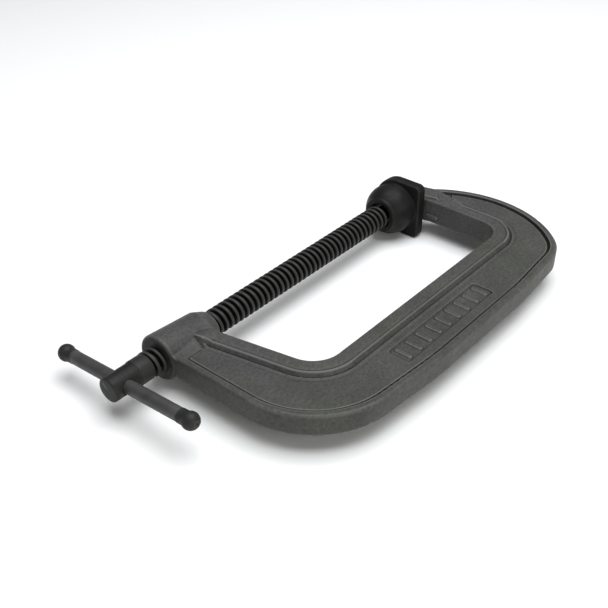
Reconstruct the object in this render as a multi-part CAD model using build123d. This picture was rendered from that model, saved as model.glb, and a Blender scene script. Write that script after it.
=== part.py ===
from build123d import *
import math
import os

# Eight inch C-clamp lying on its side, millimetres.
# Origin: the middle of the anvil's gripping face, on the screw's axis.
# +X runs along the screw from the handle to the anvil, -Y goes down the throat to the spine,
# and +Z is square to the plane of the C.

INCH = 25.4

# ---- driving dimensions -------------------------------------------------------------
CAPACITY = 8 * INCH              # widest gap between pad and anvil
THROAT_DEPTH = 100.3             # screw axis to the inner edge of the spine
OPEN_NOW = 2.5                   # gap between pad and anvil as drawn
PAD_LENGTH = 32.3                # from the pad's gripping face to its open end

THREAD_DIA = 13 / 16 * INCH      # Acme form screw
THREAD_PITCH = INCH / 4.5
THREAD_CLEARANCE = 0.15          # between the screw and the tapped boss, on every side
BAR_DIA = 13 / 32 * INCH         # sliding handle bar
BAR_SPAN = 5 * INCH              # between the centres of the two round ends
BAR_TILT = -4.3                  # degrees about the screw's axis
BAR_OFFSET = -4.5                # how far the bar stands off centre, along itself
RUNNING_FIT = 0.1                # radial clearance of the pieces that turn or slide

# ---- frame casting ------------------------------------------------------------------
FLANGE_TOP = 12.5                # half height of the inner flange, at its crest
FLANGE_LIP = 10.5                # and along the throat, where its land has sloped down
FLANGE_LIP_WIDTH = 1.6           # level strip that the throat's edge is rounded from
FLANGE_LAND = 14.0               # width of the sloping land
FLANGE_FOOT = 17.8               # width where the flange's back meets the web
FLANGE_ROUND = 1.5               # on the flange's edge along the throat
RIM_TOP = 8.8                    # half height of the outer rim
RIM_WIDTH = 5.6
RIM_ROUND = 2.2
WEB_TOP = 5.7                    # half thickness of the web, in the channels
PANEL_TOP = 7.2                  # half thickness of the raised panel
CHANNEL = 2.3                    # width of the channels round the panel
PANEL_LEG_Y = -23.5              # where the panel ends, below the boss

LEG_OUTER_X = -295.2             # outer edge of the leg that carries the screw
LEG_FOOT_Y = -147.3              # the leg meets the spine's edge here, in a corner that is rounded away
SPINE_BACK_Y = -157.0            # lowest edge of the spine
SPINE_FLAT_X = (-174.0, -60.0)   # the spine's lowest edge is straight between these
LEG_INNER_X = -258.3             # inner edge of the leg, at the height of the screw
LEG_INNER_LEAN = 0.202           # how much the inner edge leans towards the anvil per mm down
THROAT_NEAR_R = 23.5
THROAT_FAR_R = 18.0
THROAT_REACH = 80.0              # the throat's cut goes this far past the screw's axis
ARM_BACK_R = 91.8                # the arm's bowed back edge
ARM_BACK_CENTRE = (-46.7, -75.0)
ARM_BACK_FROM = -57.0            # degrees, where the spine's edge meets the bow
ARM_BACK_TO = 44.0               # degrees, where the bow meets the rounded tip
ANVIL_R = 18.0                   # rounded tip of the arm
ANVIL_CENTRE = (4.0, -1.0)
LEG_CORNER_R = 69.0              # radii that round the corners of the back edge
SPINE_NEAR_R = 400.0
SPINE_FAR_R = 300.0
ARM_CORNER_R = 40.0
TIP_BLEND_R = 14.0

HEAD_LOW_R = 11.5                # thick head behind the gripping face: at its foot,
HEAD_HIGH_R = 7.5                # and at its top
HEAD_LINE_END = (14.3, -38.0)    # the head's middle line runs from ANVIL_CENTRE to here
RAMP_FOOT = (24.0, -34.0)        # a point on the foot of the ramp down to the web
RAMP_TURN = 33.7                 # degrees from +X to the line of the ramp's foot
RAMP_LENGTH = 12.0
ARM_FLANGE_END_Y = -10.0         # above this the head takes over from the flange

BOSS_START_X = -296.5
BOSS_SHOULDER_X = -254.5
BOSS_CLEARANCE = 9.0             # between the boss's nose and the pad, fully open
BOSS_NOSE_X = -CAPACITY - PAD_LENGTH - BOSS_CLEARANCE
BOSS_R = 18.0
BOSS_SHOULDER_R = 15.7
BOSS_NOSE_R = 11.5
BOSS_ROUND = 3.0
CHEEK_FOOT_Y = -22.0             # where the boss's flat cheeks meet the web

PLATE_CENTRE = (-137.0, -132.6)  # shallow recess along the spine, on both sides
PLATE_SIZE = (112.0, 18.6)
PLATE_DEPTH = 1.0
PLATE_CORNER_R = 3.0
RIB_COUNT = 9                    # plain ribs in the recess
RIB_SIZE = (3.2, 13.4)
RIB_RISE = 0.9

# ---- spindle ------------------------------------------------------------------------
HEAD_END_X = -341.0
HEAD_R = 9.4
HEAD_ROUND = 1.2
COLLAR_START_X = -318.5
COLLAR_END_X = -306.0
COLLAR_R = 9.9
COLLAR_CHAMFER = 1.2
BAR_X = -329.5
THREAD_START_X = COLLAR_END_X - THREAD_PITCH
THREAD_END_X = -34.8
THREAD_RUN_OUT = 2.2             # the ridge dies away over this length at the pad's end
THREAD_R = THREAD_DIA / 2
ROOT_R = THREAD_R - THREAD_PITCH / 2
THREAD_CREST = 0.37 * THREAD_PITCH
THREAD_FLANK = math.tan(math.radians(14.5))
NECK_R = 5.0
BALL_R = 8.0
BALL_X = -17.5

# ---- swivel pad ---------------------------------------------------------------------
PAD_FACE_X = -OPEN_NOW
PAD_END_X = PAD_FACE_X - PAD_LENGTH
PAD_END_R = 13.9
PAD_LIP_R = 15.9                 # just behind the rounded edge of the open end
PAD_WAIST = (-27.5, 19.8)        # a point on the dome, as x and radius
FOOT_THICK = 9.0
FOOT_HALF = 24.6                 # half width of the foot towards the spine,
FOOT_FAR = 22.2                  # its reach on the far side,
FOOT_TALL = 25.2                 # and half its height
FOOT_CORNER_R = 5.0
FOOT_ROUND = 1.3                 # on the edges of the foot's back
DOME_X = -18.0                   # where the dome is widest
DOME_R = 22.2
DOME_FOOT_R = 21.4
SOCKET_GAP = 0.2
MOUTH_R = 11.6
RING_X = -27.8                   # middle of the retaining ring
RING_THICK = 2.0
RING_INNER_R = 6.6
RING_OUTER_R = 10.0
RING_GAP = 0.15
RING_SPLIT = 2.5
RING_LIP = 1.2                   # width of the shoulder that holds the ring in

# ---- handle ends --------------------------------------------------------------------
KNOB_R = 6.6
KNOB_NECK = 9.5                  # from the ball's centre to the end that faces the bar
KNOB_NECK_R = BAR_DIA / 2 + 0.25
KNOB_NECK_LAND = 1.6
KNOB_NECK_ANGLE = 124.0          # degrees from the outer end, where the cone meets the ball
KNOB_FLAT_ANGLE = 24.0           # degrees, half width of the flat at the outer end
DIMPLE_R = 1.2
DIMPLE_DEPTH = 0.9
SPIGOT_R = 3.2
SPIGOT_LENGTH = 7.0


def ring_of(points):
    """A closed outline through plain points."""
    return make_face(Polyline(*points, close=True))


def both_sides(face, top, bottom=0.0):
    """A face in the C's plane thickened from bottom to top, and the same below the plane."""
    upper = extrude(face, top - bottom).moved(Location((0, 0, bottom)))
    return upper + mirror(upper, about=Plane.XY)


def throat_face():
    """The open space of the C, carried on past the screw's axis."""
    spine = -THROAT_DEPTH
    top = THROAT_REACH
    near_top = (LEG_INNER_X - LEG_INNER_LEAN * top, top)
    near_foot = (LEG_INNER_X + LEG_INNER_LEAN * THROAT_DEPTH, spine)
    sharp = ring_of([near_top, near_foot, (0, spine), (0, top)])
    near = sharp.vertices().sort_by_distance((*near_foot, 0))[0]
    rounded = fillet(near, THROAT_NEAR_R)
    far = rounded.vertices().sort_by_distance((0, spine, 0))[0]
    return fillet(far, THROAT_FAR_R)


def on_bow(degrees, radius=ARM_BACK_R):
    """A point on the arm's bowed back edge."""
    angle = math.radians(degrees)
    return (ARM_BACK_CENTRE[0] + radius * math.cos(angle), ARM_BACK_CENTRE[1] + radius * math.sin(angle))


def outline_face():
    """The whole silhouette of the C with its mouth filled in."""
    ax, ay = ANVIL_CENTRE
    leg_foot = (LEG_OUTER_X, LEG_FOOT_Y)
    spine_near = (SPINE_FLAT_X[0], SPINE_BACK_Y)
    spine_far = (SPINE_FLAT_X[1], SPINE_BACK_Y)
    corner = on_bow(ARM_BACK_FROM)
    head = on_bow(ARM_BACK_TO)
    edge = Polyline((0, 0), (LEG_OUTER_X, 0), leg_foot, spine_near, spine_far, corner)
    back = ThreePointArc(corner, on_bow(0), head)
    to_tip = ThreePointArc(head, (ax + ANVIL_R, ay), (ax, ay + ANVIL_R))
    close = Polyline((ax, ay + ANVIL_R), (0, ay + ANVIL_R), (0, 0))
    face = make_face([edge, back, to_tip, close])
    for point, radius in (
        (leg_foot, LEG_CORNER_R),
        (spine_near, SPINE_NEAR_R),
        (spine_far, SPINE_FAR_R),
        (corner, ARM_CORNER_R),
        (head, TIP_BLEND_R),
    ):
        vertex = face.vertices().sort_by_distance((*point, 0))[0]
        face = fillet(vertex, radius)
    return face


def flange(throat, outline):
    """Inner flange on both sides: a land that slopes to a rounded throat edge, and a steep back."""
    foot = offset(throat, FLANGE_FOOT).face()
    crest = offset(throat, FLANGE_LAND).face().moved(Location((0, 0, FLANGE_TOP)))
    lip = offset(throat, FLANGE_LIP_WIDTH).face().moved(Location((0, 0, FLANGE_LIP)))
    upper = loft([foot.moved(Location((0, 0, WEB_TOP))), crest], ruled=True) + extrude(foot, WEB_TOP)
    upper -= loft([lip, crest], ruled=True)
    upper -= extrude(throat, 2 * FLANGE_TOP, both=True)
    level = upper.faces().filter_by_position(Axis.Z, FLANGE_LIP - 0.01, FLANGE_LIP + 0.01)[0]
    inner = [e for e in level.inner_wires()[0].edges() if e.center().Y < THROAT_REACH - 1]
    upper = fillet(inner, FLANGE_ROUND)
    upper &= extrude(outline, 2 * FLANGE_TOP)
    past_end = Pos(0, ARM_FLANGE_END_Y) * Rectangle(
        THROAT_DEPTH, THROAT_DEPTH, align=(Align.CENTER, Align.MIN))
    upper -= extrude(past_end, 2 * FLANGE_TOP)
    return upper + mirror(upper, about=Plane.XY)


def boss():
    """Round boss for the screw, with a domed nose inside the throat."""
    profile = ring_of([
        (BOSS_START_X, 0), (BOSS_START_X, BOSS_R), (BOSS_SHOULDER_X, BOSS_SHOULDER_R),
        (BOSS_NOSE_X, BOSS_NOSE_R), (BOSS_NOSE_X, 0),
    ])
    corners = profile.vertices().filter_by_position(Axis.Y, BOSS_NOSE_R - 1, BOSS_R + 1)
    return revolve(fillet(corners, BOSS_ROUND), Axis.X)


def boss_cheeks():
    """Flat cheeks that run from the boss down to the web, one on each side of the plane."""
    reach = math.hypot(CHEEK_FOOT_Y, WEB_TOP)
    lead = math.atan2(WEB_TOP, CHEEK_FOOT_Y) - math.acos(BOSS_SHOULDER_R / reach)
    touch_y, touch_z = (BOSS_SHOULDER_R * math.cos(lead), BOSS_SHOULDER_R * math.sin(lead))
    section = Plane.YZ * ring_of([
        (0, 0), (touch_y, touch_z), (CHEEK_FOOT_Y, WEB_TOP), (CHEEK_FOOT_Y, -WEB_TOP), (touch_y, -touch_z),
    ])
    length = BOSS_SHOULDER_X - LEG_OUTER_X
    return extrude(section, length).moved(Location((LEG_OUTER_X, 0, 0)))


def ramp_plane():
    """Upright plane at the ramp's foot: its x runs up the ramp and its y is +Z."""
    turn = math.radians(RAMP_TURN)
    along = (math.cos(turn), math.sin(turn), 0)
    up_ramp = (-math.sin(turn), math.cos(turn), 0)
    return Plane(origin=(*RAMP_FOOT, 0), x_dir=up_ramp, z_dir=along)


def head_face(radius, height):
    """The head's outline at a height: round ends about ANVIL_CENTRE and HEAD_LINE_END."""
    run_x = HEAD_LINE_END[0] - ANVIL_CENTRE[0]
    run_y = HEAD_LINE_END[1] - ANVIL_CENTRE[1]
    middle = ((HEAD_LINE_END[0] + ANVIL_CENTRE[0]) / 2, (HEAD_LINE_END[1] + ANVIL_CENTRE[1]) / 2)
    slot = SlotCenterToCenter(math.hypot(run_x, run_y), 2 * radius)
    return Pos(*middle, height) * (Rot(0, 0, math.degrees(math.atan2(run_y, run_x))) * slot).face()


def anvil_head():
    """Thick end of the arm behind the gripping face, with a ramp down to the web."""
    low = head_face(HEAD_LOW_R, WEB_TOP)
    high = head_face(HEAD_HIGH_R, FLANGE_TOP)
    upper = loft([low, high], ruled=True)
    reach = 4 * ARM_BACK_R
    ramp = ramp_plane() * ring_of([
        (0, 0), (0, WEB_TOP), (RAMP_LENGTH, FLANGE_TOP), (reach, FLANGE_TOP), (reach, 0),
    ])
    upper &= extrude(ramp, reach, both=True)
    return upper + mirror(upper, about=Plane.XY)


def panel(outline, throat):
    """Raised panel on both sides of the web, bordered by narrow channels."""
    inside = offset(outline, -(RIM_WIDTH + CHANNEL)).face()
    past_flange = offset(throat, FLANGE_FOOT + CHANNEL).face()
    reach = 4 * ARM_BACK_R
    below_boss = Pos(-reach / 2, PANEL_LEG_Y - reach / 2) * Rectangle(reach, reach)
    arm_side = Pos(reach / 2, -reach / 2) * Rectangle(reach, reach)
    past_ramp = Pos(*RAMP_FOOT) * Rot(0, 0, RAMP_TURN) * Pos(0, reach / 2 - CHANNEL) * Rectangle(reach, reach)
    region = (inside - past_flange) & (below_boss + (arm_side - past_ramp))
    return both_sides(region, PANEL_TOP)


def plate_recess():
    """Shallow recess along the spine, one on each side."""
    plate = Pos(*PLATE_CENTRE) * RectangleRounded(*PLATE_SIZE, PLATE_CORNER_R)
    return both_sides(plate, PANEL_TOP + 1, PANEL_TOP - PLATE_DEPTH)


def plate_ribs():
    """Plain round-ended ribs across the recess, evenly spaced."""
    floor = PANEL_TOP - PLATE_DEPTH
    step = PLATE_SIZE[0] / RIB_COUNT
    width, height = RIB_SIZE
    ribs = []
    for i in range(RIB_COUNT):
        x = PLATE_CENTRE[0] + (i - (RIB_COUNT - 1) / 2) * step
        slot = Pos(x, PLATE_CENTRE[1]) * SlotOverall(height, width, rotation=90)
        ribs.append(both_sides(slot, floor + RIB_RISE, floor - RIB_RISE))
    return ribs


def thread_ridge(root, crest, start, length):
    """Right-handed Acme ridge round the X axis; crest and root are radii."""
    sunk = 0.3
    half_crest = THREAD_CREST / 2
    half_root = half_crest + (THREAD_R - ROOT_R + sunk) * THREAD_FLANK
    grow = crest - THREAD_R
    path = Helix(pitch=THREAD_PITCH, height=length, radius=root - sunk)
    tall = crest - root + sunk
    section = Plane(origin=path @ 0, x_dir=(1, 0, 0), z_dir=path % 0) * ring_of([
        (0, -half_root - grow), (tall, -half_crest - grow),
        (tall, half_crest + grow), (0, half_root + grow),
    ])
    ridge = sweep(section, path=path, is_frenet=True)
    return Pos(start, 0, 0) * (Rot(0, 90, 0) * ridge)


def tap():
    """What the tapping of the boss removes: the screw's own shape, a little larger."""
    turns_past = 2
    skipped = math.ceil((BOSS_START_X - THREAD_START_X) / THREAD_PITCH) - turns_past
    first = THREAD_START_X + skipped * THREAD_PITCH
    length = BOSS_NOSE_X - first + turns_past * THREAD_PITCH
    core_r = ROOT_R + THREAD_CLEARANCE
    core = Pos(HEAD_END_X, 0, 0) * Cylinder(
        core_r, -HEAD_END_X, rotation=(0, 90, 0), align=(Align.CENTER, Align.CENTER, Align.MIN))
    return core + thread_ridge(core_r, THREAD_R + THREAD_CLEARANCE, first, length)


def on_outer_edge(edge):
    """Whether an edge of the silhouette's solid is on its outer side, not across the mouth."""
    middle = edge.center()
    return middle.Y < -1 or middle.X > 1


def frame():
    """The cast C with its boss, anvil head, rim, flange, panels and ribbed recesses."""
    outline = outline_face()
    throat = throat_face()
    plate = extrude(outline, RIM_TOP, both=True)
    outer = [e for e in plate.edges() if abs(e.center().Z) > RIM_TOP - 0.01 and on_outer_edge(e)]
    plate = fillet(outer, RIM_ROUND)
    inner = offset(outline, -RIM_WIDTH).face()
    body = plate - both_sides(inner, RIM_TOP + 1, WEB_TOP)
    body += anvil_head()
    body += panel(outline, throat)
    body -= plate_recess()
    for rib in plate_ribs():
        body += rib
    body -= extrude(throat, 2 * FLANGE_TOP, both=True)
    body += flange(throat, outline)
    body += boss() + boss_cheeks()
    return body - tap()


def spindle():
    """Screw in one piece: plain head drilled for the bar, collar, thread, neck and ball nose."""
    step = COLLAR_R - HEAD_R
    profile = ring_of([
        (HEAD_END_X, 0), (HEAD_END_X, HEAD_R), (COLLAR_START_X, HEAD_R), (COLLAR_START_X + step, COLLAR_R),
        (COLLAR_END_X - COLLAR_CHAMFER, COLLAR_R), (COLLAR_END_X, COLLAR_R - COLLAR_CHAMFER),
        (COLLAR_END_X, ROOT_R), (THREAD_END_X, ROOT_R),
        (THREAD_END_X + ROOT_R - NECK_R, NECK_R), (BALL_X, NECK_R), (BALL_X, 0),
    ])
    end_corner = profile.vertices().sort_by_distance((HEAD_END_X, HEAD_R, 0))[0]
    body = revolve(fillet(end_corner, HEAD_ROUND), Axis.X)
    body += Pos(BALL_X, 0, 0) * Sphere(BALL_R)
    length = THREAD_END_X - THREAD_START_X
    ridge = thread_ridge(ROOT_R, THREAD_R, THREAD_START_X, length + THREAD_PITCH)
    ridge_from = COLLAR_END_X - COLLAR_CHAMFER / 2
    envelope = revolve(ring_of([
        (ridge_from, 0), (ridge_from, THREAD_R + 1), (THREAD_END_X - THREAD_RUN_OUT, THREAD_R + 1),
        (THREAD_END_X, ROOT_R - 0.5), (THREAD_END_X, 0),
    ]), Axis.X)
    body += ridge & envelope
    drill = Cylinder(BAR_DIA / 2 + RUNNING_FIT, 4 * HEAD_R)
    return body - Pos(BAR_X, 0, 0) * (Rot(90 + BAR_TILT, 0, 0) * drill)


def foot():
    """Gripping foot of the pad: square towards the spine, round on the far side."""
    square = Pos(-FOOT_HALF / 2, 0) * Rectangle(FOOT_HALF, 2 * FOOT_TALL)
    shape = square + Ellipse(FOOT_FAR, FOOT_TALL)
    corners = shape.vertices().sort_by(Axis.X)[:2]
    shape = fillet(corners, FOOT_CORNER_R)
    lying = Plane(origin=(PAD_FACE_X - FOOT_THICK, 0, 0), x_dir=(0, 1, 0), z_dir=(1, 0, 0)) * shape
    block = extrude(lying, FOOT_THICK)
    return fillet(block.faces().sort_by(Axis.X)[0].edges(), FOOT_ROUND)


def swivel_pad():
    """Forged pad: small open end, dome and foot, with a ball socket and a groove for the ring."""
    inside_foot = PAD_FACE_X - FOOT_THICK + FOOT_ROUND
    edge_r = PAD_LIP_R - PAD_END_R
    bulge = edge_r * (1 - math.cos(math.radians(45)))
    shoulder = (PAD_END_X + edge_r, PAD_LIP_R)
    edge_mid = (PAD_END_X + bulge, PAD_LIP_R - bulge)
    outer = revolve(make_face([
        Polyline((inside_foot, DOME_FOOT_R), (inside_foot, 0), (PAD_END_X, 0), (PAD_END_X, PAD_END_R)),
        ThreePointArc((PAD_END_X, PAD_END_R), edge_mid, shoulder),
        ThreePointArc(shoulder, PAD_WAIST, (DOME_X, DOME_R)),
        Line((DOME_X, DOME_R), (inside_foot, DOME_FOOT_R)),
    ]), Axis.X)
    body = outer + foot()
    socket_r = BALL_R + SOCKET_GAP
    body -= Pos(BALL_X, 0, 0) * Sphere(socket_r)
    ring_low = RING_X - RING_THICK / 2 - RING_GAP
    ring_high = RING_X + RING_THICK / 2 + RING_GAP
    groove_r = RING_OUTER_R + RING_GAP
    mouth_x = ring_low - RING_LIP
    hollow = revolve(ring_of([
        (PAD_END_X - 1, 0), (PAD_END_X - 1, MOUTH_R), (mouth_x, groove_r), (mouth_x, socket_r),
        (ring_low, socket_r), (ring_low, groove_r), (ring_high, groove_r),
        (ring_high, socket_r), (BALL_X, socket_r), (BALL_X, 0),
    ]), Axis.X)
    return body - hollow


def retaining_ring():
    """Split wire ring in the pad's groove that keeps the ball nose in its socket."""
    blank = Circle(RING_OUTER_R) - Circle(RING_INNER_R)
    blank -= Pos(RING_OUTER_R, 0) * Rectangle(2 * RING_OUTER_R, RING_SPLIT)
    lying = Plane(origin=(RING_X - RING_THICK / 2, 0, 0), x_dir=(0, 0, 1), z_dir=(1, 0, 0)) * blank
    return extrude(lying, RING_THICK)


def on_bar(shape):
    """Put a shape drawn along +Y round the origin onto the bar's real place."""
    along = Rot(BAR_TILT, 0, 0) * Pos(0, BAR_OFFSET, 0)
    return Pos(BAR_X, 0, 0) * (along * shape)


def along_y(radius, start, length):
    """Plain round bar along +Y."""
    solid = Cylinder(radius, length, align=(Align.CENTER, Align.CENTER, Align.MIN))
    return Pos(0, start, 0) * (Rot(-90, 0, 0) * solid)


def handle_bar():
    """Sliding bar with a turned-down spigot at each end for the round ends."""
    half = BAR_SPAN / 2 - KNOB_NECK
    bar = along_y(BAR_DIA / 2, -half, 2 * half)
    bar += along_y(SPIGOT_R, -half - SPIGOT_LENGTH, 2 * (half + SPIGOT_LENGTH))
    return on_bar(bar)


def on_ball(degrees):
    """A point of the round end's profile, measured from its outer end."""
    angle = math.radians(degrees)
    return (KNOB_R * math.cos(angle), KNOB_R * math.sin(angle))


def handle_end(side):
    """Round end pressed on the bar: a short cone, a ball, and a flat with a small dimple."""
    meet = on_ball(KNOB_NECK_ANGLE)
    flat = on_ball(KNOB_FLAT_ANGLE)
    profile = make_face([
        Polyline((flat[0], 0), (-KNOB_NECK, 0), (-KNOB_NECK, KNOB_NECK_R),
                 (-KNOB_NECK + KNOB_NECK_LAND, KNOB_NECK_R), meet),
        ThreePointArc(meet, (0, KNOB_R), flat),
        Line(flat, (flat[0], 0)),
    ])
    knob = revolve(profile, Axis.X)
    end_on = (Align.CENTER, Align.CENTER, Align.MAX)
    knob -= Pos(flat[0], 0, 0) * Cone(0, DIMPLE_R, DIMPLE_DEPTH, rotation=(0, 90, 0), align=end_on)
    start_on = (Align.CENTER, Align.CENTER, Align.MIN)
    knob -= Pos(-KNOB_NECK, 0, 0) * Cylinder(
        SPIGOT_R, SPIGOT_LENGTH, rotation=(0, 90, 0), align=start_on)
    turned = Rot(0, 0, 90 * side) * knob
    return on_bar(Pos(0, side * BAR_SPAN / 2, 0) * turned)


nodes = {
    "frame": frame(),
    "spindle": spindle(),
    "swivel_pad": swivel_pad(),
    "pad_retaining_ring": retaining_ring(),
    "handle_bar": handle_bar(),
    "handle_end_outer": handle_end(1),
    "handle_end_inner": handle_end(-1),
}

os.makedirs("parts", exist_ok=True)
for name, shape in nodes.items():
    print(name, "solids", len(shape.solids()), "valid", shape.is_valid, "volume", round(shape.volume, 1))
    export_step(shape, f"parts/{name}.step")
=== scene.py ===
import math

import bmesh
import bpy
from mathutils import Matrix, Vector


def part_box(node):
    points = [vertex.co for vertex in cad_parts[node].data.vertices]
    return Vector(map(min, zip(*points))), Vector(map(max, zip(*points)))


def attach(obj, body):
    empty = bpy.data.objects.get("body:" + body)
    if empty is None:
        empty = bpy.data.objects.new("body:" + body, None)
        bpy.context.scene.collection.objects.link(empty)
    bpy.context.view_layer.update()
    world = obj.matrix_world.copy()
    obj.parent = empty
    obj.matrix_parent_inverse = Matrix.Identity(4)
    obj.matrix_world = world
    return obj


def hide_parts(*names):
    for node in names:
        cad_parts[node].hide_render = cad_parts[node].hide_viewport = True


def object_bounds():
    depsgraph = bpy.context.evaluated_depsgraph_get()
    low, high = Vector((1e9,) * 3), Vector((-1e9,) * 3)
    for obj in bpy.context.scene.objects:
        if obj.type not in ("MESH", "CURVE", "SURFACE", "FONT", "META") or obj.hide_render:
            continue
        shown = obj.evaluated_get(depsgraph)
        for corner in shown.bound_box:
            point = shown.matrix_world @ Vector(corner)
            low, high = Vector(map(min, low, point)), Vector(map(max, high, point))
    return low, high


# Eight inch C-clamp, in metres, in the CAD model's frame: the origin is in the middle of the anvil's
# face, +X runs along the screw towards the anvil, -Y down the throat, +Z square to the C.

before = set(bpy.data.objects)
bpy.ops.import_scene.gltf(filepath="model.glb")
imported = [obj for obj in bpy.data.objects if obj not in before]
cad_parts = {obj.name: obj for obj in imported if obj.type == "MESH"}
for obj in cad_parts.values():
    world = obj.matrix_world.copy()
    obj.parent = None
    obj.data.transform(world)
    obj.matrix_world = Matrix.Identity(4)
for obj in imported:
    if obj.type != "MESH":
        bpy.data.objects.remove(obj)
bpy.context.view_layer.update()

MM = 0.001
INCH = 0.0254
WELD = 0.001 * MM                # points nearer than this are one point
TINY_R = 0.02 * MM               # stands for a radius of nothing, where a row must still be a loop
TURNED_SIDES = 56                # sides of the handle's turned pieces

# ---- screw, as in the CAD model but for the crown -----------------------------------
PITCH = INCH / 4.5
THREAD_R = 13 / 32 * INCH
ROOT_R = THREAD_R - PITCH / 2
CREST_SHARE = 0.37               # a crest's width, as a share of the pitch
FLANK_ANGLE = 14.5               # degrees
FLANK_SHARE = 0.5 * math.tan(math.radians(FLANK_ANGLE))      # and a flank's
CREST_CROWN = 0.12 * MM          # how much lower a crest's edges are than its middle

SPINDLE_LOW, SPINDLE_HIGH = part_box("spindle")
HEAD_END = SPINDLE_LOW.x
HEAD_ROUND = 1.2 * MM
COLLAR_R = 9.9 * MM
HEAD_R = 9.4 * MM
COLLAR_START = HEAD_END + 22.5 * MM
COLLAR_END = HEAD_END + 35.0 * MM
COLLAR_CHAMFER = 1.2 * MM
THREAD_START = COLLAR_END - PITCH
BALL_R = 8.0 * MM                # ball nose
BALL_X = SPINDLE_HIGH.x - BALL_R
THREAD_END = BALL_X - 17.3 * MM
RUN_OUT = 2.2 * MM               # the thread dies away over this length at its end
NECK_R = 5.0 * MM

# ---- handle, as in the CAD model ----------------------------------------------------
BAR_LOW, BAR_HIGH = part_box("handle_bar")
BAR_X = (BAR_LOW.x + BAR_HIGH.x) / 2
BAR_R = (BAR_HIGH.x - BAR_LOW.x) / 2
BAR_SPAN = 5 * INCH              # between the centres of the round ends
BAR_TILT = math.radians(-4.3)
BAR_OFFSET = -4.5 * MM           # how far the bar stands off centre, along itself
BAR_HOLE_R = BAR_R + 0.1 * MM
KNOB_R = 6.6 * MM
KNOB_NECK = 9.5 * MM             # from the ball's centre to the end that faces the bar
SPIGOT_R = 3.2 * MM
SPIGOT_LENGTH = 7.0 * MM

# ---- frame, as in the CAD model but for the flange as cast and the ridge ------------
BOSS_FACE_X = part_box("frame")[0].x
THROAT_DEPTH = 100.3 * MM
LEG_INNER_X = -258.3 * MM        # inner edge of the leg, at the height of the screw
LEG_INNER_LEAN = 0.202           # how much it leans towards the anvil per unit down
THROAT_NEAR_R = 23.5 * MM
THROAT_FAR_R = 18.0 * MM
THROAT_MIDDLE_X = -120.0 * MM    # between the throat's two rounded corners
ARM_X = -30.0 * MM               # the arm's flange lies past this, the rest of the flange before it
# (distance from the throat, half height) of the CAD model's inner flange up to its crest, in mm
FLANGE_PLAIN = ((0.0, 10.5), (1.6, 10.5), (14.0, 12.5))
FLANGE_CREST = FLANGE_PLAIN[-1][0]
# the same for the flange as cast: a level land, a short back, a bead at its foot, then the channel
FLANGE_CAST = ((0.0, 10.4), (2.0, 10.3), (8.0, 10.1), (10.6, 9.5), (12.3, 10.2), (14.8, 6.4),
               (16.2, 7.7), (18.0, 7.2), (19.0, 7.0), (20.5, 7.2))
FLANGE_CAST_EDGE = FLANGE_CAST[-1][0]
# (y in mm, share of the cast section): it starts below the boss on the leg, and below the anvil's
# head on the arm
LEG_SHARE = ((-24.0, 1.0), (-18.0, 0.0))
ARM_SHARE = ((-60.0, 1.0), (-46.0, 0.0))
FLANGE_TOP_Y = LEG_SHARE[-1][0] * MM
# low casting ridge on the arm's throat face
RIDGE_LOW_Y, RIDGE_HIGH_Y = -38.0 * MM, -26.2 * MM
RIDGE_Z = -4.2 * MM
RIDGE_HALF = 1.7 * MM
RIDGE_PROUD = 0.8 * MM
RIDGE_SUNK = 1.0 * MM
RIDGE_POINTS = 24


# ---- small mesh tools ---------------------------------------------------------------
def link(name, mesh):
    """A new object that holds the mesh."""
    made = bpy.data.objects.new(name, mesh)
    bpy.context.scene.collection.objects.link(made)
    return made


def from_bmesh(name, bm, sharp_degrees=35.0):
    """A smooth-shaded object from a bmesh, with edges over the angle left sharp."""
    bmesh.ops.recalc_face_normals(bm, faces=bm.faces[:])
    limit = math.radians(sharp_degrees)
    for face in bm.faces:
        face.smooth = True
    for edge in bm.edges:
        edge.smooth = len(edge.link_faces) == 2 and edge.calc_face_angle(0.0) < limit
    mesh = bpy.data.meshes.new(name)
    bm.to_mesh(mesh)
    bm.free()
    return link(name, mesh)


def baked(obj):
    """The object with its modifiers applied to its mesh."""
    graph = bpy.context.evaluated_depsgraph_get()
    mesh = bpy.data.meshes.new_from_object(obj.evaluated_get(graph))
    obj.modifiers.clear()
    old = obj.data
    obj.data = mesh
    bpy.data.meshes.remove(old)
    return obj


def ring_rows(bm, rows, cap_start=True, cap_end=True):
    """Joins rows of points, each a closed loop of the same length, and caps the ends."""
    loops = [[bm.verts.new(p) for p in row] for row in rows]
    for low, high in zip(loops, loops[1:]):
        n = len(low)
        for j in range(n):
            k = (j + 1) % n
            bm.faces.new((low[j], low[k], high[k], high[j]))
    if cap_start:
        bm.faces.new(loops[0][::-1])
    if cap_end:
        bm.faces.new(loops[-1])


def circle_row(x, r, count):
    """Points of a circle round the X axis."""
    step = 2 * math.pi / count
    r = max(r, TINY_R)
    return [Vector((x, r * math.cos(i * step), r * math.sin(i * step))) for i in range(count)]


def arc_points(cx, cr, radius, start, end, count):
    """(x, r) points on an arc, angles in degrees from +X towards +r."""
    points = []
    for i in range(count + 1):
        a = math.radians(start + (end - start) * i / count)
        points.append((cx + radius * math.cos(a), cr + radius * math.sin(a)))
    return points


def lathe(name, profile, count):
    """A closed turned piece round the X axis from (x, r) points."""
    bm = bmesh.new()
    ring_rows(bm, [circle_row(x, r, count) for x, r in profile])
    return from_bmesh(name, bm)


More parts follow.
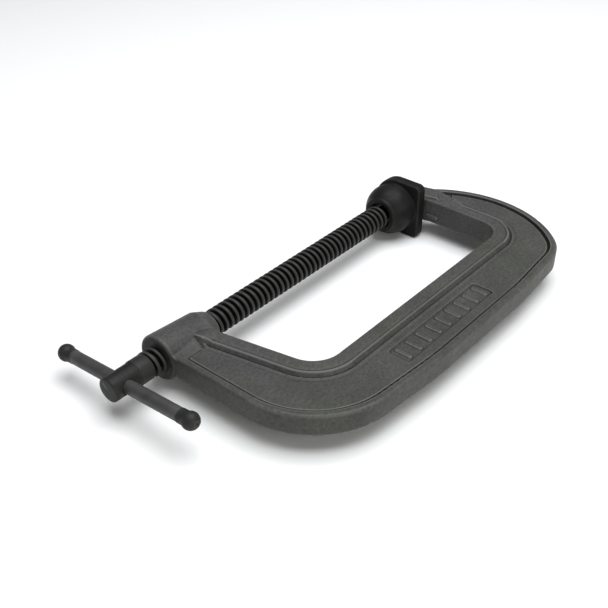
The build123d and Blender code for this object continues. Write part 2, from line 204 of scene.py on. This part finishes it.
# ---- materials ----------------------------------------------------------------------
class Nodes:
    """Short names for building a node tree."""

    def __init__(self, name):
        self.material = bpy.data.materials.new(name)
        self.material.use_nodes = True
        self.tree = self.material.node_tree
        self.shader = self.tree.nodes["Principled BSDF"]
        self.coords = self.tree.nodes.new("ShaderNodeTexCoord").outputs["Object"]

    def set(self, **values):
        """Sets the shader's inputs, named with _ for a space."""
        for name, value in values.items():
            self.shader.inputs[name.replace("_", " ")].default_value = value

    def noise(self, scale, detail, rough=0.55, vector=None):
        """Noise of a scale, over the object's coordinates unless a vector is given."""
        node = self.tree.nodes.new("ShaderNodeTexNoise")
        node.inputs["Scale"].default_value = scale
        node.inputs["Detail"].default_value = detail
        node.inputs["Roughness"].default_value = rough
        self.tree.links.new(vector or self.coords, node.inputs["Vector"])
        return node.outputs["Fac"]

    def stretched(self, scale):
        """The object's coordinates, scaled along X, Y and Z."""
        node = self.tree.nodes.new("ShaderNodeMapping")
        node.inputs["Scale"].default_value = scale
        self.tree.links.new(self.coords, node.inputs["Vector"])
        return node.outputs["Vector"]

    def ramp(self, fac, stops):
        """A colour ramp through (place, grey or colour) stops."""
        node = self.tree.nodes.new("ShaderNodeValToRGB")
        ramp = node.color_ramp
        while len(ramp.elements) < len(stops):
            ramp.elements.new(0.5)
        for element, (at, colour) in zip(ramp.elements, stops):
            element.position = at
            element.color = (*colour, 1.0) if isinstance(colour, tuple) else (colour,) * 3 + (1.0,)
        self.tree.links.new(fac, node.inputs["Fac"])
        return node.outputs["Color"]

    def mix(self, fac, a, b, how="MIX"):
        """Colour a with b laid over it by fac; each may be a value or a socket."""
        node = self.tree.nodes.new("ShaderNodeMix")
        node.data_type = "RGBA"
        node.blend_type = how
        for value, index in ((fac, 0), (a, 6), (b, 7)):
            if isinstance(value, bpy.types.NodeSocket):
                self.tree.links.new(value, node.inputs[index])
            else:
                node.inputs[index].default_value = value if index == 0 else (*value, 1.0)
        return node.outputs[2]

    def span(self, value, low, high):
        """The value as 0 at low and 1 at high, and never past them."""
        node = self.tree.nodes.new("ShaderNodeMapRange")
        node.inputs["From Min"].default_value = low
        node.inputs["From Max"].default_value = high
        self.tree.links.new(value, node.inputs["Value"])
        return node.outputs["Result"]

    def pointiness(self, low, high):
        """0 to 1 from low to high pointiness: edges are over 0.5 and hollows under it."""
        geometry = self.tree.nodes.new("ShaderNodeNewGeometry")
        return self.span(geometry.outputs["Pointiness"], low, high)

    def times(self, value, factor):
        """The value times the factor."""
        node = self.tree.nodes.new("ShaderNodeMath")
        node.operation = "MULTIPLY"
        node.inputs[1].default_value = factor
        self.tree.links.new(value, node.inputs[0])
        return node.outputs[0]

    def from_axis(self, low, high):
        """Distance from the screw's axis, as 0 at low and 1 at high."""
        flat = self.tree.nodes.new("ShaderNodeVectorMath")
        flat.operation = "MULTIPLY"
        flat.inputs[1].default_value = (0.0, 1.0, 1.0)
        self.tree.links.new(self.coords, flat.inputs[0])
        length = self.tree.nodes.new("ShaderNodeVectorMath")
        length.operation = "LENGTH"
        self.tree.links.new(flat.outputs["Vector"], length.inputs[0])
        return self.span(length.outputs["Value"], low, high)

    def before(self, x, blend):
        """1 where the surface lies before x along the screw, 0 after, over the blend's width."""
        split = self.tree.nodes.new("ShaderNodeSeparateXYZ")
        self.tree.links.new(self.coords, split.inputs[0])
        return self.span(split.outputs["X"], x + blend / 2, x - blend / 2)

    def bump(self, height, distance, strength, under=None):
        """A bump of a height and depth, laid over another where one is given."""
        node = self.tree.nodes.new("ShaderNodeBump")
        node.inputs["Distance"].default_value = distance
        node.inputs["Strength"].default_value = strength
        self.tree.links.new(height, node.inputs["Height"])
        if under is not None:
            self.tree.links.new(under, node.inputs["Normal"])
        return node.outputs["Normal"]

    def drive(self, output, socket):
        """Links an output to one of the shader's inputs."""
        self.tree.links.new(output, self.shader.inputs[socket])


def cast_iron():
    """Mottled dark grey enamel over a cast skin, thin and lightened on its edges as wear and a painted
    highlight, with painted shade in its hollows and a darker boss end face.
    """
    n = Nodes("cast_iron")
    tint = n.noise(9.0, 4.0, 0.6)
    base = n.ramp(tint, [(0.38, (0.0570, 0.0585, 0.0500)), (0.62, (0.0585, 0.0575, 0.0575))])
    patches = n.ramp(n.noise(26.0, 5.0, 0.65), [(0.30, 0.80), (0.70, 1.20)])
    base = n.mix(1.0, base, patches, "MULTIPLY")
    grain = n.ramp(n.noise(420.0, 3.0, 0.7), [(0.30, 0.62), (0.70, 1.38)])
    base = n.mix(0.75, base, grain, "MULTIPLY")
    # painted shade: hollows and creases darkened nearly to black
    hollow = n.pointiness(0.498, 0.470)
    base = n.mix(hollow, base, (0.005, 0.005, 0.004))
    # edge wear and a painted highlight: convex edges lightened
    wear_and_highlight = n.pointiness(0.507, 0.528)
    base = n.mix(n.times(wear_and_highlight, 0.7), base, (0.150, 0.150, 0.140))
    # the boss's end face painted darker
    dark_boss_face = n.before(BOSS_FACE_X + 0.6 * MM, 1.6 * MM)
    base = n.mix(n.times(dark_boss_face, 0.75), base, (0.006, 0.006, 0.005))
    n.drive(base, "Base Color")
    n.drive(n.ramp(n.noise(180.0, 4.0, 0.65), [(0.3, 0.40), (0.7, 0.56)]), "Roughness")
    skin = n.bump(n.noise(1100.0, 2.0, 0.6), 0.06 * MM, 0.6)
    lumps = n.bump(n.noise(190.0, 4.0, 0.6), 0.45 * MM, 0.5, skin)
    n.drive(lumps, "Normal")
    n.set(Metallic=0.0, Specular_IOR_Level=0.17)
    return n.material


def tool_marks(n, marks, grain_scale, grain_depth):
    """Roughness and relief of turned or forged steel: marks stretched along X, Y, Z over a grain."""
    turned = n.noise(1.0, 3.0, 0.6, n.stretched(marks))
    n.drive(n.ramp(turned, [(0.3, 0.36), (0.7, 0.52)]), "Roughness")
    grain = n.bump(n.noise(grain_scale, 3.0), grain_depth, 0.5)
    n.drive(n.bump(turned, 0.05 * MM, 0.4, grain), "Normal")


def black_oxide(name, marks, low, high, gloss):
    """Black oxide on turned or forged steel, from a low to a high grey, lightened on its edges as wear
    and a painted highlight.
    """
    n = Nodes(name)
    base = n.ramp(n.noise(60.0, 5.0, 0.6), [(0.3, (low, low, low)), (0.7, (high, high, high * 0.96))])
    # edge wear and a painted highlight: convex edges lightened
    wear_and_highlight = n.pointiness(0.512, 0.56)
    base = n.mix(n.times(wear_and_highlight, 0.45), base, (0.090, 0.090, 0.086))
    n.drive(base, "Base Color")
    tool_marks(n, marks, 700.0, 0.08 * MM)
    n.set(Metallic=0.1, Specular_IOR_Level=gloss)
    return n.material


def screw_black():
    """Black oxide, with painted shade and old grease darkening the thread's roots and lower flanks, and
    its crests and edges lightened as wear and a painted highlight.
    """
    n = Nodes("screw_black")
    base = n.ramp(n.noise(60.0, 5.0, 0.6), [(0.3, (0.012, 0.012, 0.012)), (0.7, (0.022, 0.022, 0.020))])
    # painted highlight and wear: the thread's crests lightened
    crest = n.from_axis(THREAD_R - 0.5 * MM, THREAD_R - 0.1 * MM)
    base = n.mix(n.times(crest, 0.5), base, (0.058, 0.058, 0.056))
    # painted shade and old grease: roots and lower flanks darkened nearly to black, except on the head
    # and collar
    depth = n.from_axis(ROOT_R, THREAD_R)
    unthreaded_end = n.before(COLLAR_END, 0.5 * MM)
    grease_and_shade = n.mix(unthreaded_end, n.ramp(depth, [(0.35, 1.0), (0.95, 0.0)]), (0.0, 0.0, 0.0))
    base = n.mix(grease_and_shade, base, (0.002, 0.002, 0.002))
    # edge wear and a painted highlight: convex edges lightened
    wear_and_highlight = n.pointiness(0.515, 0.60)
    base = n.mix(n.times(wear_and_highlight, 0.5), base, (0.12, 0.12, 0.115))
    n.drive(base, "Base Color")
    tool_marks(n, (900.0, 40.0, 40.0), 520.0, 0.12 * MM)
    n.set(Metallic=0.1, Specular_IOR_Level=0.12)
    return n.material


def spring_wire():
    """Oil-blackened spring steel."""
    n = Nodes("spring_wire")
    n.drive(n.ramp(n.noise(500.0, 3.0), [(0.3, 0.012), (0.7, 0.026)]), "Base Color")
    n.drive(n.ramp(n.noise(900.0, 2.0), [(0.3, 0.30), (0.7, 0.45)]), "Roughness")
    n.set(Metallic=0.5)
    return n.material


def floor_paper():
    """Pale studio paper."""
    n = Nodes("floor_paper")
    n.drive(n.ramp(n.noise(30.0, 3.0), [(0.0, 0.89), (1.0, 0.91)]), "Base Color")
    n.set(Roughness=0.9, Specular_IOR_Level=0.2)
    return n.material


def paint(obj, material):
    """Gives the object this one material."""
    obj.data.materials.clear()
    obj.data.materials.append(material)


# ---- cast, forged and drawn pieces --------------------------------------------------
def softened(node, name, voxel, passes, triangles, add_marks=None, reshape=None):
    """The CAD piece with the rounded edges of a casting, in at most about so many triangles.

    add_marks adds to the sharp mesh, and reshape moves the points of the remeshed one.
    """
    bm = bmesh.new()
    bm.from_mesh(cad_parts[node].data)
    bmesh.ops.remove_doubles(bm, verts=bm.verts[:], dist=WELD)
    if add_marks:
        add_marks(bm)
    obj = from_bmesh(name, bm)
    remesh = obj.modifiers.new("skin", "REMESH")
    remesh.mode = "VOXEL"
    remesh.voxel_size = voxel
    remesh.adaptivity = 0.0
    if reshape:
        reshape(baked(obj).data)
    smooth = obj.modifiers.new("round", "SMOOTH")
    smooth.factor = 0.5
    smooth.iterations = passes
    baked(obj)
    thin = obj.modifiers.new("thin", "DECIMATE")
    thin.ratio = min(1.0, triangles / (2 * len(obj.data.polygons)))
    baked(obj)
    for polygon in obj.data.polygons:
        polygon.use_smooth = True
    return obj


def add_ridge(bm):
    """A low casting ridge with round ends on the arm's throat face, beside the pad."""
    outline = []
    for i in range(RIDGE_POINTS):
        a = 2 * math.pi * (i + 0.5) / RIDGE_POINTS
        end_y = RIDGE_HIGH_Y - RIDGE_HALF if math.cos(a) > 0 else RIDGE_LOW_Y + RIDGE_HALF
        outline.append((end_y + RIDGE_HALF * math.cos(a), RIDGE_Z + RIDGE_HALF * math.sin(a)))
    ring_rows(bm, [[Vector((x, y, z)) for y, z in outline] for x in (RIDGE_SUNK, -RIDGE_PROUD)])


def past_corner(point, centre, radius, first, second):
    """Distance past a corner of the throat and the two sides it joins.

    The sides' normals point into the casting, the second a left turn from the first.
    """
    away = point - centre
    if first.cross(away) >= 0 and away.cross(second) >= 0:
        return away.length - radius
    return max(away.dot(first), away.dot(second)) - radius


def from_throat(x, y):
    """Distance of a point of the casting from the throat's edge, in the C's plane."""
    point = Vector((x, y))
    down = Vector((0, -1))
    if x > THROAT_MIDDLE_X:
        centre = Vector((-THROAT_FAR_R, THROAT_FAR_R - THROAT_DEPTH))
        return past_corner(point, centre, THROAT_FAR_R, down, Vector((1, 0)))
    leg = Vector((-1, -LEG_INNER_LEAN)).normalized()
    centre_y = THROAT_NEAR_R - THROAT_DEPTH
    centre_x = LEG_INNER_X - LEG_INNER_LEAN * centre_y - THROAT_NEAR_R / leg.x
    return past_corner(point, Vector((centre_x, centre_y)), THROAT_NEAR_R, leg, down)


def between(points, at):
    """Value at a place along (place, value) points, joined by straight lines."""
    for (low, start), (high, end) in zip(points, points[1:]):
        if at <= high:
            return start + (end - start) * max(0.0, at - low) / (high - low)
    return points[-1][1]


def cast_flange(mesh):
    """Gives the inner flange its cast section, except beside the boss and the anvil's head."""
    for vertex in mesh.vertices:
        x, y, z = vertex.co
        away = from_throat(x, y) / MM
        if y > FLANGE_TOP_Y or away > FLANGE_CAST_EDGE:
            continue
        share = between(ARM_SHARE if x > ARM_X else LEG_SHARE, y / MM)
        height = between(FLANGE_CAST, away) * MM
        if away < FLANGE_CREST:
            cast_z = z * height / (between(FLANGE_PLAIN, away) * MM)
        else:                    # the CAD model's back is too steep to scale
            cast_z = math.copysign(height, z)
        vertex.co.z = z + share * (cast_z - z)


def make_frame(material):
    """The C casting, with its ridge and the cast section of its flange."""
    body = softened("frame", "frame_casting", voxel=0.5 * MM, passes=4, triangles=190000,
                    add_marks=add_ridge, reshape=cast_flange)
    paint(body, material)
    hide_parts("frame")
    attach(body, "frame")


def make_pad(material):
    """The forged swivel pad."""
    pad = softened("swivel_pad", "pad_forging", voxel=0.5 * MM, passes=7, triangles=160000)
    paint(pad, material)
    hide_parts("swivel_pad")
    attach(pad, "pad")


def make_ring(material):
    """The CAD ring with its square edges eased, like drawn wire."""
    ring = softened("pad_retaining_ring", "wire_ring", voxel=0.16 * MM, passes=5, triangles=12000)
    paint(ring, material)
    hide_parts("pad_retaining_ring")
    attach(ring, "pad_seat")


# ---- spindle ------------------------------------------------------------------------
def thread_radius(x, turn):
    """Radius of the rounded Acme thread at x and at a turn from 0 to 1 round the axis."""
    phase = (x - THREAD_START) / PITCH - turn
    off = abs(phase - round(phase))
    crest = CREST_SHARE / 2
    share = min(1.0, max(0.0, (off - crest) / FLANK_SHARE))
    crown = CREST_CROWN * min(1.0, off / crest) ** 4
    radius = THREAD_R - crown + (ROOT_R - THREAD_R + crown) * share
    run = max(0.0, (x - (THREAD_END - RUN_OUT)) / RUN_OUT)
    return max(ROOT_R, min(radius, THREAD_R + (ROOT_R - THREAD_R) * run))


def add_thread(bm, count):
    """The thread's skin, in rows that follow the helix along its crests, flanks and roots.

    Rows are placed by their share of the pitch from a crest's middle: across the crest, down a
    flank, past the foot of it to the root's middle, and up the next flank.
    """
    crest = CREST_SHARE / 2
    root = crest + FLANK_SHARE
    gap = 0.5 - root
    half_flank = 0.5 * FLANK_SHARE
    above_foot = 0.12 * FLANK_SHARE
    past_foot = 0.2 * gap
    shares = [-crest, -0.9 * crest, -0.4 * crest, 0.4 * crest, 0.9 * crest, crest,
              crest + half_flank, root - above_foot, root + past_foot, 0.5,
              1 - root - past_foot, 1 - root + above_foot, 1 - crest - half_flank]
    turns = math.ceil((THREAD_END - COLLAR_END) / PITCH) + 2
    starts = [COLLAR_END + (k + share) * PITCH for k in range(-2, turns) for share in shares]
    grid = []
    for start in starts:
        row = []
        for j in range(count + 1):
            turn = j / count
            x = min(THREAD_END, max(COLLAR_END, start + turn * PITCH))
            r = thread_radius(x, turn)
            a = 2 * math.pi * turn
            row.append(bm.verts.new((x, r * math.cos(a), r * math.sin(a))))
        grid.append(row)
    for low, high in zip(grid, grid[1:]):
        for j in range(count):
            bm.faces.new((low[j], low[j + 1], high[j + 1], high[j]))


def thread_row(x, count, least_r):
    """A row at x that is as wide as the thread there, and at least of the radius least_r."""
    row = []
    for j in range(count):
        turn = j / count
        r = max(least_r, thread_radius(x, turn))
        a = 2 * math.pi * turn
        row.append(Vector((x, r * math.cos(a), r * math.sin(a))))
    return row


def head_profile():
    """(x, r) points from the head's flat end to the collar's chamfer."""
    ease = 0.3 * MM
    slope_end = COLLAR_START + (COLLAR_R - HEAD_R)
    chamfer_start = COLLAR_END - COLLAR_CHAMFER
    points = [(HEAD_END, 0.0), (HEAD_END, HEAD_R * 0.55)]
    points += arc_points(HEAD_END + HEAD_ROUND, HEAD_R - HEAD_ROUND, HEAD_ROUND, 180, 90, 6)
    points += [(COLLAR_START - ease, HEAD_R), (COLLAR_START, HEAD_R + 0.08 * MM),
               (slope_end, COLLAR_R - 0.06 * MM), (slope_end + 0.4 * MM, COLLAR_R),
               (chamfer_start - ease, COLLAR_R), (chamfer_start, COLLAR_R - 0.1 * MM)]
    return points


def nose_profile():
    """(x, r) points from the thread's end along the neck and round the ball nose."""
    neck_angle = 180 - math.degrees(math.asin(NECK_R / BALL_R))
    neck = [(THREAD_END, ROOT_R), (THREAD_END + ROOT_R - NECK_R, NECK_R)]
    return neck + arc_points(BALL_X, 0.0, BALL_R, neck_angle, 0, 16)


def drill_head(screw):
    """Cuts the hole for the bar, slightly countersunk at both ends."""
    flare = 0.7 * MM
    sink = 1.1 * MM
    reach = 1.3 * HEAD_R
    edge = HEAD_R - sink
    mouth_r = BAR_HOLE_R + flare + reach - HEAD_R
    profile = [(-reach, mouth_r), (-edge, BAR_HOLE_R), (edge, BAR_HOLE_R), (reach, mouth_r)]
    cutter = lathe("drill", profile, 64)
    cutter.data.transform(bar_place(1, 0.0))
    drill = screw.modifiers.new("drill", "BOOLEAN")
    drill.operation = "DIFFERENCE"
    drill.solver = "EXACT"
    drill.object = cutter
    baked(screw)
    bpy.data.objects.remove(cutter)


def make_spindle(material):
    """Head, collar, thread, neck and ball nose in one closed skin, drilled for the bar."""
    count = 72
    head = [circle_row(x, r, count) for x, r in head_profile()]
    head.append(thread_row(COLLAR_END, count, COLLAR_R - COLLAR_CHAMFER))
    head.append(thread_row(COLLAR_END, count, 0.0))
    nose = [circle_row(x, r, count) for x, r in nose_profile()]
    bm = bmesh.new()
    ring_rows(bm, head, cap_end=False)
    add_thread(bm, count)
    ring_rows(bm, nose, cap_start=False)
    bmesh.ops.remove_doubles(bm, verts=bm.verts[:], dist=3 * WELD)
    bmesh.ops.dissolve_degenerate(bm, edges=bm.edges[:], dist=WELD)
    screw = from_bmesh("spindle_screw", bm, sharp_degrees=40.0)
    drill_head(screw)
    paint(screw, material)
    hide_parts("spindle")
    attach(screw, "spindle")


# ---- handle -------------------------------------------------------------------------
def bar_place(side, along):
    """Matrix from a piece turned round X to the bar's place; along is measured on the bar."""
    return (Matrix.Translation((BAR_X, 0, 0)) @ Matrix.Rotation(BAR_TILT, 4, "X")
            @ Matrix.Translation((0, along, 0)) @ Matrix.Rotation(side * math.pi / 2, 4, "Z"))


def dress_handle_piece(piece, node, material):
    """Paint, node and body of the bar or one of its ends."""
    paint(piece, material)
    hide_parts(node)
    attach(piece, "handle")


def make_bar(material):
    """A rod with a spigot at each end, in stretches between rows of points."""
    half = BAR_SPAN / 2 - KNOB_NECK
    soft = 0.3 * MM
    stretches = 12
    side = [(half + SPIGOT_LENGTH, 0.0), (half + SPIGOT_LENGTH, SPIGOT_R), (half, SPIGOT_R),
            (half, BAR_R - soft), (half - soft, BAR_R)]
    middle = [(half * (1 - 2 * k / stretches), BAR_R) for k in range(1, stretches)]
    profile = side + middle + [(-x, r) for x, r in reversed(side)]
    bar = lathe("handle_rod", profile, TURNED_SIDES)
    bar.data.transform(bar_place(1, BAR_OFFSET))
    dress_handle_piece(bar, "handle_bar", material)


def make_knob(name, node, side, material):
    """Ball end: socket, neck land, cone, ball, and a flat with a centre mark."""
    neck_r = BAR_R + 0.25 * MM
    soft = 0.35 * MM
    land = 1.6 * MM
    ball_from, ball_to = 124, 24             # degrees from the end's axis
    flat_x = KNOB_R * math.cos(math.radians(ball_to))
    mark_r, mark_depth = 1.3 * MM, 0.9 * MM
    edge_in, edge_down = 0.2 * MM, 0.25 * MM
    socket_x = SPIGOT_LENGTH - KNOB_NECK
    profile = [(socket_x, 0.0), (socket_x, SPIGOT_R), (-KNOB_NECK, SPIGOT_R),
               (-KNOB_NECK, neck_r - soft), (-KNOB_NECK + soft, neck_r), (-KNOB_NECK + land, neck_r)]
    profile += arc_points(0.0, 0.0, KNOB_R, ball_from, ball_to, 22)
    profile += [(flat_x, mark_r), (flat_x - edge_down, mark_r - edge_in), (flat_x - mark_depth, 0.0)]
    knob = lathe(name, profile, TURNED_SIDES)
    knob.data.transform(bar_place(side, BAR_OFFSET + side * BAR_SPAN / 2))
    dress_handle_piece(knob, node, material)


# ---- all the pieces -----------------------------------------------------------------
ALONG_BAR = (40.0, 500.0, 40.0)  # scales of the tool marks on the bar and its ends
screw_paint = screw_black()
pad_paint = black_oxide("pad_black", (160.0, 160.0, 160.0), low=0.009, high=0.018, gloss=0.10)
bar_paint = black_oxide("bar_black", ALONG_BAR, low=0.036, high=0.060, gloss=0.35)
knob_paint = black_oxide("knob_black", ALONG_BAR, low=0.016, high=0.032, gloss=0.15)
wire_paint = spring_wire()

make_frame(cast_iron())
make_pad(pad_paint)
make_ring(wire_paint)
make_spindle(screw_paint)
make_bar(bar_paint)
make_knob("handle_ball_outer", "handle_end_outer", 1, knob_paint)
make_knob("handle_ball_inner", "handle_end_inner", -1, knob_paint)

# ---- floor, light and camera --------------------------------------------------------
LOW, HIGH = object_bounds()
CENTRE = (LOW + HIGH) / 2
FLOOR_HALF = 6.0                 # metres
CAMERA_PLACE = (-0.6238, -0.4096, 0.4132)
CAMERA_AZIMUTH, CAMERA_ELEVATION, CAMERA_ROLL = -49.94, 35.415, 0.10     # degrees
CAMERA_LENS, CAMERA_SENSOR = 55.65, 36.0                                 # millimetres


def make_floor():
    """A wide sheet of paper under the clamp's lowest point."""
    bm = bmesh.new()
    bmesh.ops.create_grid(bm, x_segments=8, y_segments=8, size=FLOOR_HALF)
    floor = from_bmesh("floor", bm)
    floor.location = (CENTRE.x, CENTRE.y, LOW.z)
    paint(floor, floor_paper())


def area_light(name, place, size, power, colour):
    """A soft lamp of (width, height), at a place measured from the clamp's middle and aimed at it."""
    data = bpy.data.lights.new(name, "AREA")
    data.shape = "RECTANGLE"
    data.size, data.size_y = size
    data.energy = power
    data.color = colour
    lamp = bpy.data.objects.new(name, data)
    lamp.location = CENTRE + Vector(place)
    lamp.rotation_mode = "QUATERNION"
    lamp.rotation_quaternion = (-Vector(place)).to_track_quat("-Z", "Y")
    bpy.context.scene.collection.objects.link(lamp)


def make_world(colour, strength):
    """An even light from all round."""
    world = bpy.data.worlds.new("studio")
    world.use_nodes = True
    sky = world.node_tree.nodes["Background"]
    sky.inputs["Color"].default_value = (*colour, 1.0)
    sky.inputs["Strength"].default_value = strength
    bpy.context.scene.world = world


def make_camera():
    """Looks down on the clamp from the handle's side, like a hand-held product view."""
    azimuth = math.radians(CAMERA_AZIMUTH)
    elevation = math.radians(CAMERA_ELEVATION)
    roll = math.radians(CAMERA_ROLL)
    data = bpy.data.cameras.new("camera")
    data.sensor_width = CAMERA_SENSOR
    data.lens = CAMERA_LENS
    camera = bpy.data.objects.new("camera", data)
    back = Vector((math.sin(azimuth) * math.cos(elevation),
                   -math.cos(azimuth) * math.cos(elevation), math.sin(elevation)))
    right = Vector((math.cos(azimuth), math.sin(azimuth), 0.0))
    up = back.cross(right)
    tilted_right = right * math.cos(roll) + up * math.sin(roll)
    tilted_up = up * math.cos(roll) - right * math.sin(roll)
    turn = Matrix((tilted_right, tilted_up, back)).transposed()
    camera.matrix_world = Matrix.Translation(CAMERA_PLACE) @ turn.to_4x4()
    bpy.context.scene.collection.objects.link(camera)
    bpy.context.scene.camera = camera


make_floor()
area_light("top_soft", (0.15, -0.15, 1.6), (1.6, 1.6), 38.0, (0.97, 0.985, 1.0))
area_light("front", (-0.35, -1.45, 0.6), (1.2, 0.8), 7.5, (1.0, 0.99, 0.94))
make_world((1.0, 1.0, 1.0), 0.22)
bpy.context.scene.view_settings.view_transform = "Standard"
make_camera()
